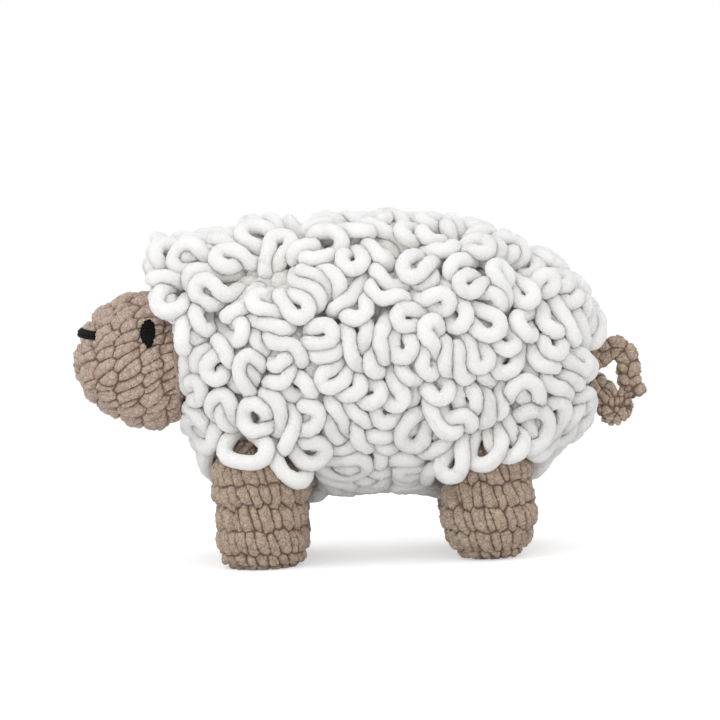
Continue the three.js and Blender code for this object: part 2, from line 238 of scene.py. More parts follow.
def keep_off(points, reach):
    """Moves points out of the head, the room that the legs tilt in and the parting round the tail."""
    away = points - head_centre
    far = np.linalg.norm(away, axis=1)
    crown = crown_clear * np.clip(away[:, 2] / far, 0, 1) ** 2
    push = np.maximum(0, head_clear + crown + reach - far)
    points += away / far[:, None] * push[:, None]
    above_head = np.clip((points[:, 2] - over_head_from) / over_head_blend, 0, 1)
    front_edge = front_limit - over_head * above_head + reach * pressed_yarn
    front_edge -= ragged_edge * np.sin(points[:, 1] * 260 + points[:, 2] * 190)
    points[:, 0] = np.maximum(points[:, 0], front_edge)
    for centre, radius in leg_tops:
        away = points - centre
        flat = np.hypot(away[:, 0], away[:, 1]) + 1e-9
        far = np.linalg.norm(away, axis=1)
        steep = np.arctan2(away[:, 2], flat)
        outward = away / far[:, None]
        rim = radius + leg_clear + reach
        ball_push = np.where(steep > leg_tilt, np.maximum(0, rim - far), 0)
        points += outward * ball_push[:, None]
        side = np.stack((
            away[:, 0] / flat * math.cos(leg_tilt),
            away[:, 1] / flat * math.cos(leg_tilt),
            np.full(len(points), math.sin(leg_tilt)),
        ), 1)
        gap = rim - (away * side).sum(1)
        cone_push = np.where((steep <= leg_tilt) & (gap > 0), gap, 0)
        points += side * cone_push[:, None]
    away = points - tail_root
    behind = away[:, 0] > parting_start
    wide = parting_half[0] + reach * pressed_yarn
    high = parting_half[1] + reach * pressed_yarn
    share = np.hypot(away[:, 1] / wide, away[:, 2] / high) + 1e-6
    inside = behind & (share < 1)
    grow = np.where(inside, 1 / share, 1)
    points[:, 1:] = tail_root[1:] + away[:, 1:] * np.minimum(grow, most_parted)[:, None]


def spread_over_ground(count, reach, chance):
    """Even places on the ground with their outward slopes, apart from where the limbs are sewn on."""
    solid = merged_copy(frame["nodes"]["body_cover"])
    tree = BVHTree.FromBMesh(solid)
    solid.free()
    ways = unit(chance.normal(size=(spot_tries, 3)))
    places, slopes = [], []
    for way, along in zip(ways, chance.uniform(*trunk_ends, spot_tries)):
        start = Vector((along, 0, body_height))
        hit, slope, _, _ = tree.ray_cast(start + Vector(way) * ray_start, -Vector(way))
        if hit is not None:
            places.append(hit)
            slopes.append(slope)
    places, slopes = np.array(places), np.array(slopes)
    moved = places.copy()
    keep_off(moved, reach)
    free = np.linalg.norm(moved - places, axis=1) < 1e-6
    free &= np.abs(above_ground.read(places)[0]) < near_surface
    places, slopes = places[free], slopes[free]
    picked = [0]
    gap = np.linalg.norm(places - places[0], axis=1)
    for _ in range(count - 1):
        picked.append(int(np.argmax(gap)))
        gap = np.minimum(gap, np.linalg.norm(places - places[picked[-1]], axis=1))
    return places[picked], slopes[picked]


def vertex_places(piece):
    points = np.empty(len(piece.data.vertices) * 3)
    piece.data.vertices.foreach_get("co", points)
    return points.reshape(-1, 3)


def roughen(piece, nap, chance):
    """The short plush nap, as small uneven steps of the surface."""
    normals = np.empty(len(piece.data.vertices) * 3)
    piece.data.vertex_normals.foreach_get("vector", normals)
    steps = np.repeat(chance.normal(scale=nap, size=len(piece.data.vertices)), 3)
    piece.data.vertices.foreach_set("co", vertex_places(piece).ravel() + normals * steps)
    piece.data.update()


def add_attribute(piece, name, values):
    layer = piece.data.attributes.new(name, "FLOAT", "POINT")
    layer.data.foreach_set("value", np.asarray(values, dtype=np.float32))


# The skins of the stuffed forms: the voxel that each is remeshed at, and the small knobs of its plush.
coarse_skin = 0.0014
fine_skin = 0.0005
fabric_nap = 0.0001
lump_end = 1.2
knob_size = 0.0042
knob_height = 0.0007
knob_middle = 0.6
knob_edge = 0.22
points_at_once = 4000


def crease_between(apart, *lines):
    """How deep in a crease points lie, as the sum of its lines, each with its share and its width."""
    return sum(share * np.exp(-((apart / width) ** 2)) for share, width in lines)


def worked_fabric(name, core, lumps, fineness, proud, rise=0.0017, crease=0.0014, flat_at=None):
    """Draws the skin of a stuffed form up into the lumps of its stitches, with a crease where two meet.

    A lump is its place, the way along it, the way out of the fabric, and its half length and half width.
    """
    mesh = bpy.data.meshes.new(name + "_form")
    core.to_mesh(mesh)
    core.free()
    form = bpy.data.objects.new(name + "_form", mesh)
    scene.collection.objects.link(form)
    grown = form.modifiers.new("skin", "REMESH")
    grown.mode = "VOXEL"
    grown.voxel_size = fineness
    soft = form.modifiers.new("soft", "SMOOTH")
    soft.factor = 0.5
    soft.iterations = 3
    bpy.context.view_layer.update()
    skin = bpy.data.meshes.new_from_object(form.evaluated_get(bpy.context.evaluated_depsgraph_get()))
    bpy.data.objects.remove(form)
    skin.name = name
    piece = bpy.data.objects.new(name, skin)
    scene.collection.objects.link(piece)
    skin.shade_smooth()
    places = np.array([lump[0] for lump in lumps])
    out = np.array([lump[2] for lump in lumps])
    along = np.array([lump[1] for lump in lumps])
    along = unit(along - out * (along * out).sum(1)[:, None])
    side = np.cross(out, along)
    long, wide = np.array([lump[3:] for lump in lumps]).T
    points = vertex_places(piece)
    near, next_near = np.empty(len(points)), np.empty(len(points))
    for start in range(0, len(points), points_at_once):
        some = slice(start, start + points_at_once)
        gap = points[some, None] - places[None]
        far = np.sqrt(
            ((gap * along).sum(2) / long) ** 2
            + ((gap * side).sum(2) / wide) ** 2
            + ((gap * out).sum(2) / long) ** 2
        )
        ranked = np.partition(far, 1, axis=1)
        near[some], next_near[some] = ranked[:, 0], ranked[:, 1]
    apart = next_near - near
    seam = crease_between(apart, (0.6, 0.16), (0.4, 0.45))
    cells = [noise.voronoi(Vector(place))[0] for place in points / knob_size]
    knob = 1 - np.exp(-((np.array([cell[1] - cell[0] for cell in cells]) / knob_edge) ** 2))
    height = proud + rise * (1 - np.minimum(near, lump_end) ** 2) - crease * seam
    height += knob_height * (knob - knob_middle)
    height += np.random.default_rng(len(lumps)).normal(scale=fabric_nap, size=len(points))
    normals = np.empty(len(points) * 3)
    skin.vertex_normals.foreach_get("vector", normals)
    points += normals.reshape(-1, 3) * height[:, None]
    if flat_at is not None:
        points[:, 2] = np.maximum(points[:, 2], flat_at)
    skin.vertices.foreach_set("co", points.ravel())
    skin.update()
    # Painted shade and light: this attribute mixes each material's crease colour into the creases between
    # stitches and round the small knobs. The crease colour is dark brown on the tan yarn and lighter and
    # warmer on the white.
    shade = crease_between(apart, (0.8, 0.14), (0.2, 0.4))
    add_attribute(piece, "depth", (1 - shade) * (0.4 + 0.6 * knob))
    return piece


# The nap of plush yarn, shared by all materials: flecks, and a height from tufts and from ribs along
# the strand that a slow drift keeps from being even.
rib_spacing = 0.0016
rib_drift = 7
fleck_size = 1300
plush = bpy.data.node_groups.new("plush_yarn", "ShaderNodeTree")
for name in ("Pile Size", "Fleck Size", "Rib Height"):
    plush.interface.new_socket(name, in_out="INPUT", socket_type="NodeSocketFloat")
for name in ("Fleck", "Height"):
    plush.interface.new_socket(name, in_out="OUTPUT", socket_type="NodeSocketFloat")
nodes, links = plush.nodes, plush.links
given = nodes.new("NodeGroupInput")
result = nodes.new("NodeGroupOutput")
place = nodes.new("ShaderNodeTexCoord")
fine = nodes.new("ShaderNodeTexNoise")
fine.inputs["Detail"].default_value = 3
fine.inputs["Roughness"].default_value = 0.7
coarse = nodes.new("ShaderNodeTexNoise")
coarse.inputs["Detail"].default_value = 2
cells = nodes.new("ShaderNodeTexVoronoi")
tuft = nodes.new("ShaderNodeMath")
tuft.operation = "SUBTRACT"
way_along = nodes.new("ShaderNodeAttribute")
way_along.attribute_name = "along"
ribs = nodes.new("ShaderNodeMath")
ribs.operation = "MULTIPLY_ADD"
ribs.inputs[1].default_value = 2 * math.pi / rib_spacing
wave = nodes.new("ShaderNodeMath")
wave.operation = "SINE"
ribbed = nodes.new("ShaderNodeMath")
ribbed.operation = "MULTIPLY_ADD"
drift = nodes.new("ShaderNodeMath")
drift.operation = "MULTIPLY"
drift.inputs[1].default_value = rib_drift
links.new(place.outputs["Object"], fine.inputs["Vector"])
links.new(place.outputs["Object"], coarse.inputs["Vector"])
links.new(place.outputs["Object"], cells.inputs["Vector"])
links.new(given.outputs["Pile Size"], fine.inputs["Scale"])
links.new(given.outputs["Fleck Size"], coarse.inputs["Scale"])
links.new(given.outputs["Pile Size"], cells.inputs["Scale"])
links.new(fine.outputs["Fac"], tuft.inputs[0])
links.new(cells.outputs["Distance"], tuft.inputs[1])
links.new(coarse.outputs["Fac"], drift.inputs[0])
links.new(way_along.outputs["Fac"], ribs.inputs[0])
links.new(drift.outputs[0], ribs.inputs[2])
links.new(ribs.outputs[0], wave.inputs[0])
links.new(wave.outputs[0], ribbed.inputs[0])
links.new(given.outputs["Rib Height"], ribbed.inputs[1])
links.new(tuft.outputs[0], ribbed.inputs[2])
links.new(coarse.outputs["Fac"], result.inputs["Fleck"])
links.new(ribbed.outputs[0], result.inputs["Height"])


def yarn_material(name, yarn, crease, tint, bump, sheen, pile, ribs=0.0):
    """Plush yarn: its colour, a crease colour mixed in as painted shade where the attribute is low, flecks of
    lighter and darker tone at random, and a short nap.
    """
    material = bpy.data.materials.new(name)
    material.use_nodes = True
    nodes, links = material.node_tree.nodes, material.node_tree.links
    shader = nodes["Principled BSDF"]
    nap = nodes.new("ShaderNodeGroup")
    nap.node_tree = plush
    nap.inputs["Pile Size"].default_value = pile
    nap.inputs["Fleck Size"].default_value = fleck_size
    nap.inputs["Rib Height"].default_value = ribs
    depth = nodes.new("ShaderNodeAttribute")
    depth.attribute_name = "depth"
    # Painted shade: where the attribute is low, this ramp gives the crease colour instead of the yarn's own.
    body = nodes.new("ShaderNodeValToRGB")
    body.color_ramp.elements[0].color = (*crease, 1)
    body.color_ramp.elements[1].color = (*yarn, 1)
    body.color_ramp.elements[0].position = 0.05
    body.color_ramp.elements[1].position = 0.6
    flecks = nodes.new("ShaderNodeValToRGB")
    flecks.color_ramp.elements[0].position = 0.36
    flecks.color_ramp.elements[1].position = 0.64
    flecks.color_ramp.elements[0].color = (*(1 - tint for _ in range(3)), 1)
    mix = nodes.new("ShaderNodeMix")
    mix.data_type = "RGBA"
    mix.blend_type = "MULTIPLY"
    mix.inputs["Factor"].default_value = 1
    bumps = nodes.new("ShaderNodeBump")
    bumps.inputs["Strength"].default_value = bump
    bumps.inputs["Distance"].default_value = 0.0006
    links.new(depth.outputs["Fac"], body.inputs["Fac"])
    links.new(nap.outputs["Fleck"], flecks.inputs["Fac"])
    links.new(body.outputs["Color"], mix.inputs["A"])
    links.new(flecks.outputs["Color"], mix.inputs["B"])
    links.new(mix.outputs["Result"], shader.inputs["Base Color"])
    links.new(nap.outputs["Height"], bumps.inputs["Height"])
    links.new(bumps.outputs["Normal"], shader.inputs["Normal"])
    shader.inputs["Roughness"].default_value = 0.92
    shader.inputs["Specular IOR Level"].default_value = 0.2
    shader.inputs["Sheen Weight"].default_value = sheen
    shader.inputs["Sheen Roughness"].default_value = 0.6
    return material


# The white yarn's crease colour is painted light: lighter and warmer than the yarn's own, it lifts the shade
# in the creases and deep in the pile.
white_yarn = yarn_material(
    "white_chenille_yarn", (0.935, 0.925, 0.905), (0.96, 0.93, 0.895),
    tint=0.03, bump=0.5, sheen=0.5, pile=1300, ribs=0.6,
)
glow_through = white_yarn.node_tree.nodes["Principled BSDF"].inputs
glow_through["Subsurface Weight"].default_value = 1.0
glow_through["Subsurface Radius"].default_value = (0.9, 0.95, 1)
glow_through["Subsurface Scale"].default_value = 0.008

chance = np.random.default_rng(17)
ground_stitches = 620
ground_stitch_half = (0.0062, 0.0036)
lengthwise = Vector((1, 0, 0))
spots, slopes = spread_over_ground(ground_stitches, 0.0015, chance)
lumps = []
for spot, slope in zip(spots, slopes):
    out = Vector(slope)
    along = lengthwise + out.cross(lengthwise) * chance.normal(0.5, 0.2)
    lumps.append((Vector(spot), along, out, *ground_stitch_half))
ground = merged_copy(frame["nodes"]["body_cover"])
body = worked_fabric("body_ground", ground, lumps, coarse_skin, proud=0.0004)
body.data.materials.append(white_yarn)
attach(body, "torso")
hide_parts("body_cover", "body_stuffing")


# The fleece: the same white yarn, drawn out into loops that stand on the ground. They flop over
# under their own weight and lie on one another. Those ahead reach over the head, those low on the
# sides hang over the tops of the legs, and both are longer.
loop_count = 390
loop_points = 20
loop_length = (0.058, 0.074)
yarn_radius = 0.004
lying_radius = 0.0031
foot_gap = 0.0036
foot_sunk = 0.001
pile_depth = 0.018
longer_ahead = 0.12
longer_hanging = 0.45
ahead_of = (-0.066, 0.115)

# How the loops move in each round: their weight, the push that flops them over for the first part
# of the fall, how much of the last step they keep, and the least distance between points of a loop
# that lie two, four or seven steps apart, as a share of the yarn between them.
weight_pull = 0.000014
flop_push = 0.00006
flop_until, drift_until = 0.7, 0.8
drift_kept, drift_kept_late = 0.86, 0.6
least_apart = {2: 0.955, 4: 0.8, 7: 0.4}
pair_margin = 0.002


def close_pairs(points, reach):
    """Pairs of points nearer to each other than reach, found through a grid of cells."""
    cell = np.floor((points - points.min(0)) / reach).astype(np.int64) + 1
    span = cell.max(0) + 2
    key = (cell[:, 0] * span[1] + cell[:, 1]) * span[2] + cell[:, 2]
    order = np.argsort(key, kind="stable")
    ranked = key[order]
    firsts, seconds = [], []
    for shift in np.ndindex(3, 3, 3):
        step = ((shift[0] - 1) * span[1] + shift[1] - 1) * span[2] + shift[2] - 1
        if step < 0:
            continue
        start = np.searchsorted(ranked, key + step, "left")
        stop = np.searchsorted(ranked, key + step, "right")
        count = stop - start
        first = np.repeat(np.arange(len(points)), count)
        inner = np.arange(count.sum()) - np.repeat(np.cumsum(count) - count, count)
        second = order[np.repeat(start, count) + inner]
        if step == 0:
            keep = second > first
            first, second = first[keep], second[keep]
        firsts.append(first)
        seconds.append(second)
    first, second = np.concatenate(firsts), np.concatenate(seconds)
    near = ((points[first] - points[second]) ** 2).sum(1) < reach**2
    return first[near], second[near]


def over_legs(points, wide, high):
    """How far points count as hanging over the top of a leg, from 0 to 1."""
    share = np.zeros(len(points))
    for centre, _ in leg_tops:
        beside = np.clip((wide - np.abs(points[:, 0] - centre[0])) / 0.007, 0, 1)
        above = np.clip((high - points[:, 2] + centre[2]) / 0.01, 0, 1)
        share = np.maximum(share, beside * above * (points[:, 1] * centre[1] > 0))
    return share


def let_loops_fall(chance, rounds):
    """Grows every loop from its foot and lets it fall on its neighbours, as short straight steps of yarn."""
    feet, _ = spread_over_ground(loop_count, 0.001, chance)
    count, size = len(feet), loop_points
    _, up = above_ground.read(feet)
    across = unit(np.cross(up, chance.normal(size=(count, 3))))
    flop = unit(np.cross(up, chance.normal(size=(count, 3))))
    flop += (np.array((0, 0, -1)) + up * up[:, 2:]) * 0.6
    length = chance.uniform(*loop_length, count)
    ahead = np.clip((ahead_of[0] - feet[:, 0]) / 0.012, 0, 1)
    ahead = ahead * np.clip((feet[:, 2] - ahead_of[1]) / 0.01, 0, 1)
    flop = flop * (1 - ahead)[:, None] + np.array((-1, 0, -0.3)) * ahead[:, None]
    hanging = over_legs(feet, 0.032, 0.05)
    outward = np.stack((np.zeros(count), np.sign(feet[:, 1]) * 0.5, np.full(count, -1.3)), 1)
    flop = flop * (1 - hanging)[:, None] + outward * hanging[:, None]
    length *= 1 + longer_ahead * ahead + longer_hanging * hanging
    share = np.linspace(0, 1, size)
    rise = np.sin(share * math.pi) ** 0.7
    points = (
        feet[:, None]
        + across[:, None] * (foot_gap * np.cos(share * math.pi))[None, :, None]
        + up[:, None] * (rise[None] * length[:, None] * 0.16)[:, :, None]
    ).reshape(-1, 3)
    points += chance.normal(scale=0.0002, size=points.shape)
    weight = np.ones((count, size))
    weight[:, [0, 1, -2, -1]] = 0
    weight = weight.reshape(-1)
    free = weight > 0
    lean = unit(up + flop * 0.5 + np.array((0, 0, -0.1)))
    home = points.reshape(count, size, 3).copy()
    reach = (length / (size - 1))[:, None]
    home[:, 0] = feet + across * foot_gap - up * foot_sunk
    home[:, -1] = feet - across * foot_gap - up * foot_sunk
    home[:, 1] = home[:, 0] + lean * reach
    home[:, -2] = home[:, -1] + lean * reach
    points = np.where(weight[:, None] == 0, home.reshape(-1, 3), points)
    before = points.copy()
    loop = np.repeat(np.arange(count), size)
    place = np.tile(np.arange(size), count)
    index = np.arange(count * size).reshape(count, size)
    spans = [(index[:, :-n].reshape(-1), index[:, n:].reshape(-1), n) for n in (1, 2, 4, 7)]
    heavy = chance.uniform(0.4, 1.6, count) + 4 * hanging
    pull = np.array((0, 0, -weight_pull)) * heavy.repeat(size)[:, None]
    for step in range(rounds):
        grown = min(1, 0.3 + 0.7 * step / (rounds * 0.5))
        thick = lying_radius * min(1, 0.45 + 0.55 * step / (rounds * 0.5))
        push = np.repeat(flop + up * 0.5, size, 0) * (flop_push if step < rounds * flop_until else 0)
        drift = (points - before) * (drift_kept if step < rounds * drift_until else drift_kept_late)
        before = points.copy()
        points = points + (drift + pull + push) * weight[:, None]
        if step % 3 == 0:
            first, second = close_pairs(points, 2 * thick + pair_margin)
            other = (loop[first] != loop[second]) | (np.abs(place[first] - place[second]) > 3)
            first, second = first[other], second[other]
        for _ in range(4):
            for a, b, n in spans:
                gap = points[b] - points[a]
                far = np.linalg.norm(gap, axis=1) + 1e-9
                rest = np.repeat(length, size - n) / (size - 1) * n * grown
                if n == 1:
                    off = (far - rest) / far
                else:
                    off = np.minimum(0, far - rest * least_apart[n]) / far * 0.5
                total = weight[a] + weight[b] + 1e-9
                move = gap * off[:, None]
                shift_a = move * (weight[a] / total)[:, None]
                shift_b = -move * (weight[b] / total)[:, None]
                points[a] += shift_a * 0.5 if n == 1 else shift_a * 0.25
                points[b] += shift_b * 0.5 if n == 1 else shift_b * 0.25
            gap = points[second] - points[first]
            far = np.linalg.norm(gap, axis=1) + 1e-9
            deep = np.maximum(0, 2 * thick - far) / far
            total = weight[first] + weight[second] + 1e-9
            move = gap * deep[:, None]
            shift = np.zeros_like(points)
            for axis in range(3):
                shift[:, axis] -= np.bincount(first, move[:, axis] * weight[first] / total, len(points))
                shift[:, axis] += np.bincount(second, move[:, axis] * weight[second] / total, len(points))
            touching = np.bincount(first, deep > 0, len(points)) + np.bincount(second, deep > 0, len(points))
            points += shift / np.maximum(1, touching * 0.6)[:, None]
            height, slope = above_ground.read(points)
            deepest = pile_depth - lying_radius + 0.014 * over_legs(points, 0.03, 0.03)
            deepest += 0.012 * ahead.repeat(size) + 0.002 * np.clip(-slope[:, 2], 0, 1)
            low = np.maximum(0, thick * 0.8 - height) * free
            high = np.maximum(0, height - deepest) * free
            points += slope * (low - high * 0.4)[:, None]
            moved = points[free]
            keep_off(moved, thick)
            points[free] = moved
    loops = points.reshape(count, size, 3)
    for _ in range(2):
        loops[:, 2:-2] = (loops[:, 1:-3] + 2 * loops[:, 2:-2] + loops[:, 3:-1]) / 4
    return loops


def yarn_from(name, paths, radius, chance, sides=3, nap=0.00016):
    """A strand of yarn along each path, closed at its ends, with the small swells of its plush."""
    curve = bpy.data.curves.new(name, "CURVE")
    curve.dimensions = "3D"
    curve.bevel_depth = radius
    curve.bevel_resolution = sides
    curve.use_fill_caps = True
    curve.resolution_u = 2
    for path in paths:
        spline = curve.splines.new("NURBS")
        spline.points.add(len(path) - 1)
        spline.points.foreach_set("co", np.c_[path, np.ones(len(path))].ravel())
        swell = 1 + chance.normal(scale=0.045, size=len(path))
        spline.points.foreach_set("radius", swell)
        spline.order_u = 4
        spline.use_endpoint_u = True
    rope = bpy.data.objects.new(name + "_path", curve)
    scene.collection.objects.link(rope)
    bpy.context.view_layer.update()
    mesh = bpy.data.meshes.new_from_object(rope.evaluated_get(bpy.context.evaluated_depsgraph_get()))
    bpy.data.objects.remove(rope)
    mesh.name = name
    piece = bpy.data.objects.new(name, mesh)
    scene.collection.objects.link(piece)
    mesh.shade_smooth()
    roughen(piece, nap, chance)
    return piece


def ways_along(piece, paths):
    """How far along its own strand each point of a piece of yarn lies."""
    points = vertex_places(piece).reshape(len(paths), -1, 3)
    ways = []
    for path, skin in zip(paths, points):
        steps = np.linalg.norm(np.diff(path, axis=0), axis=1)
        whole = np.concatenate(([0], np.cumsum(steps)))
        gaps = np.linalg.norm(skin[:, None] - path[None], axis=2)
        near = np.clip(gaps.argmin(1), 0, len(path) - 2)
        ahead = path[near + 1] - path[near]
        share = ((skin - path[near]) * ahead).sum(1) / (ahead**2).sum(1)
        ways.append(whole[near] + np.clip(share, -1, 1) * steps[near])
    return np.concatenate(ways)


loops = let_loops_fall(np.random.default_rng(7), 240)
order = np.argsort(loops.mean(1)[:, 0])
for part, chosen in zip(("front", "middle", "rear"), np.array_split(order, 3)):
    fleece = yarn_from(f"fleece_{part}", loops[chosen], yarn_radius, np.random.default_rng(3))
    height, _ = above_ground.read(vertex_places(fleece))
    # Painted light deep in the pile: lower down, towards the roots of the loops, the attribute takes in the
    # white yarn's lighter, warmer crease colour.
    add_attribute(fleece, "depth", np.clip(height / pile_depth, 0, 1.3))
    add_attribute(fleece, "along", ways_along(fleece, loops[chosen]))
    fleece.data.materials.append(white_yarn)
    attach(fleece, "torso")
    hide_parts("fleece")


# The head: worked in rounds of single crochet in tan chenille, from the muzzle to the neck, and stuffed. Each
# stitch shows as a fat and a thin slanting lump with a fine crease round it, painted brown as shade.
# The head's tan yarn. Its dark brown crease colour is painted shade.
tan_yarn = yarn_material(
    "tan_chenille_yarn", (0.78, 0.595, 0.475), (0.24, 0.13, 0.085), tint=0.42, bump=1.0, sheen=0.3, pile=1500
)
head_radius = 0.031
muzzle_swell = 0.0038
crown_swell = 0.0028
eye_ahead = 0.0022
eye_rise = 0.0155
eye_side = math.sqrt(head_radius**2 - eye_ahead**2 - eye_rise**2)
eye_hollow = 0.0017
eye_hollow_reach = 0.0075
head_rounds = 9
neck_open = 0.2
round_height = 0.0122
stitch_width = 0.0116
stitch_half = 0.0078
fat_half, thin_half = 0.0042, 0.003


def head_skin(out):
    """How far the skin of the head lies from its centre, in a direction, drawn in where the eyes are sewn."""
    eye = Vector((eye_ahead, math.copysign(eye_side, out.y), eye_rise))
    drawn_in = eye_hollow * math.exp(-(((out * head_radius - eye).length / eye_hollow_reach) ** 2))
    top = min(1, max(0, 0.75 - out.x))
    throat = max(0, 1 - 3 * (out.x - 0.15) ** 2)
    crown = crown_swell * out.z**2 * (top if out.z > 0 else throat)
    return head_radius + muzzle_swell * max(0, -out.x) ** 3 + crown - drawn_in


core = bmesh.new()
bmesh.ops.create_icosphere(core, subdivisions=5, radius=1)
for vert in core.verts:
    out = vert.co.normalized()
    vert.co = Vector(head_centre) + out * head_skin(out)
chance = np.random.default_rng(11)
lumps = []
for row in range(head_rounds):
    middle = (row + 0.3) * round_height / head_radius
    if middle > math.pi - neck_open:
        break
    count = max(2, round(2 * math.pi * math.sin(middle) * head_radius / stitch_width))
    for stitch in range(count * 2):
        fat = stitch % 2 == 0
        phi = (stitch + 0.5 * (row % 2) + chance.normal(scale=0.18)) * math.pi / count
        theta = middle + chance.normal(scale=0.04)
        out = Vector((-math.cos(theta), math.sin(theta) * math.cos(phi), math.sin(theta) * math.sin(phi)))
        towards = Vector((math.sin(theta), math.cos(theta) * math.cos(phi), math.cos(theta) * math.sin(phi)))
        around = Vector((0, -math.sin(phi), math.cos(phi)))
        slant = math.radians(chance.normal(38 if fat else 26, 13))
        along = towards * math.cos(slant) - around * math.sin(slant)
        size = chance.normal(1, 0.14)
        place = Vector(head_centre) + out * head_skin(out)
        lumps.append((place, along, out, stitch_half * size, (fat_half if fat else thin_half) * size))
head = worked_fabric("head", core, lumps, fine_skin, proud=0.0002)
head.data.materials.append(tan_yarn)
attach(head, "head")
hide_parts("head_cover", "head_stuffing")

# The neck seam: the head is whip-stitched on with its own yarn, over and over through both fabrics.
stitch_bulge = 0.0003
stitch_slant = 0.0005


def whip_stitch(name, rides_on, centre, towards, away, angle, thick, stitches, yarn):
    """A seam of yarn in a waving ring, at an angle round the direction in which a limb is sewn on."""
    turn = Vector((0, 0, 1)).rotation_difference(towards).to_matrix()
    path = []
    steps = stitches * 6
    for i in range(steps + 1):
        around = i / steps * 2 * math.pi
        wave = around * stitches
        wide = away * math.sin(math.radians(angle)) + stitch_bulge * math.cos(wave)
        lift = away * math.cos(math.radians(angle)) + stitch_slant * math.sin(wave)
        path.append(Vector(centre) + turn @ Vector((wide * math.cos(around), wide * math.sin(around), lift)))
    seam = yarn_from(f"{name}_yarn", [path], thick, np.random.default_rng(2), sides=1, nap=0.00005)
    # Painted shade: the seam yarn takes part of its material's crease colour all along.
    add_attribute(seam, "depth", np.full(len(seam.data.vertices), 0.4))
    seam.data.materials.append(yarn)
    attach(seam, rides_on)
    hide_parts(name)


whip_stitch(
    "neck_seam", "neck", head_centre, Vector((1, 0, 0)), head_radius + 0.0019,
    angle=61, thick=0.0012, stitches=22, yarn=tan_yarn,
)

# The eyes and the nose: black yarn worked over and over in satin stitch, right on the head.
black_yarn = yarn_material(
    "black_yarn", (0.006, 0.0055, 0.006), (0.003, 0.003, 0.003), tint=0.2, bump=0.5, sheen=0.0, pile=1500
)
eye_strands = 9
eye_height = 0.0128
eye_half = 0.0032
eye_lifted = 0.0007
eye_swell = 0.0011
for hand, side in (("left", -1), ("right", 1)):
    strands = []
    for i in range(eye_strands):
        height = eye_rise + (0.5 - (i + 0.5) / eye_strands) * eye_height
        share = abs((i + 0.5) / eye_strands * 2 - 0.9)
        half = eye_half * max(0.2, 1 - share**2.3)
        path = []
        for step in np.linspace(-1, 1, 7):
            x = eye_ahead + half * step + (0.0006 if i > 6 else 0)
            z = height + step * 0.0004
            rise = eye_swell * (1 - step**2) ** 0.5
            y = math.sqrt((head_radius + eye_lifted + rise) ** 2 - x**2 - z**2)
            path.append((head_centre[0] + x, side * y, head_centre[2] + z))
        strands.append(path)
    eye = yarn_from(f"{hand}_eye_stitches", strands, 0.001, np.random.default_rng(5), nap=0.00004)
    add_attribute(eye, "depth", np.ones(len(eye.data.vertices)))
    eye.data.materials.append(black_yarn)
    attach(eye, "head")
    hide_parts(f"{hand}_eye")

nose_rise = 0.0150
nose_half_angle = 39
nose_strands = ((-0.0012, 0.0016), (0, 0.0021), (0.0012, 0.0016))
strands = []
for lift, proud in nose_strands:
    path = []
    for angle in np.linspace(-nose_half_angle, nose_half_angle, 15):
        turn = math.radians(angle)
        tilt = math.asin((nose_rise + lift) / (head_radius + muzzle_swell))
        out = Vector((-math.cos(turn) * math.cos(tilt), math.sin(turn) * math.cos(tilt), math.sin(tilt)))
        path.append(Vector(head_centre) + out * (head_skin(out) + proud))
    strands.append(path)
nose = yarn_from("nose_stitches", strands, 0.00105, np.random.default_rng(8), nap=0.00004)
add_attribute(nose, "depth", np.ones(len(nose.data.vertices)))
nose.data.materials.append(black_yarn)
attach(nose, "head")
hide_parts("nose_stitch")


# The legs: tubes of the tan yarn worked in rounds from a flat sole, two rope-like rounds at the
# sole's edge and upright stitches above, stuffed and whip-stitched to the body at the top.
# A second copy of the tan yarn, painted darker and a little yellower than the head's, as shade under the
# body. The tail and the seams of the legs and tail take it too.
shaded_tan_yarn = yarn_material(
    "tan_chenille_legs", (0.71, 0.545, 0.405), (0.22, 0.125, 0.075), tint=0.42, bump=1.0, sheen=0.3, pile=1500
)
# The half widths of the sole and the foot, the foot's height, and the half widths of the waist and
# the ball at the top.
leg_sizes = {
    "front": (0.015, 0.0226, 0.015, 0.0222, ball_radii["front"]),
    "hind": (0.008, 0.0238, 0.024, 0.0215, ball_radii["hind"]),
}
rope_rounds = 2
rope_height = 0.0068
rope_half, rope_half_width = 0.0056, 0.0036
bare_top = 0.008


def leg_profile(sole, foot, foot_height, waist, ball, ball_height):
    """Half widths and heights of a leg from the middle of its sole to its top."""
    outline = [(0, 0)]
    for i in range(13):
        angle = i / 12 * math.pi / 2
        outline.append((sole + (foot - sole) * math.sin(angle), foot_height * (1 - math.cos(angle))))
    low = -math.acos(waist / ball)
    for i in range(25):
        angle = low + (math.pi / 2 - low) * i / 24
        outline.append((ball * math.cos(angle) if i < 24 else 0, ball_height + ball * math.sin(angle)))
    return outline


def along_profile(outline, way):
    """The place, and the outward slope, at a distance along a profile."""
    for (r0, z0), (r1, z1) in zip(outline, outline[1:]):
        step = math.hypot(r1 - r0, z1 - z0)
        if way <= step or (r1, z1) == outline[-1]:
            share = min(1, way / step)
            return r0 + (r1 - r0) * share, z0 + (z1 - z0) * share, (r1 - r0) / step, (z1 - z0) / step
        way -= step


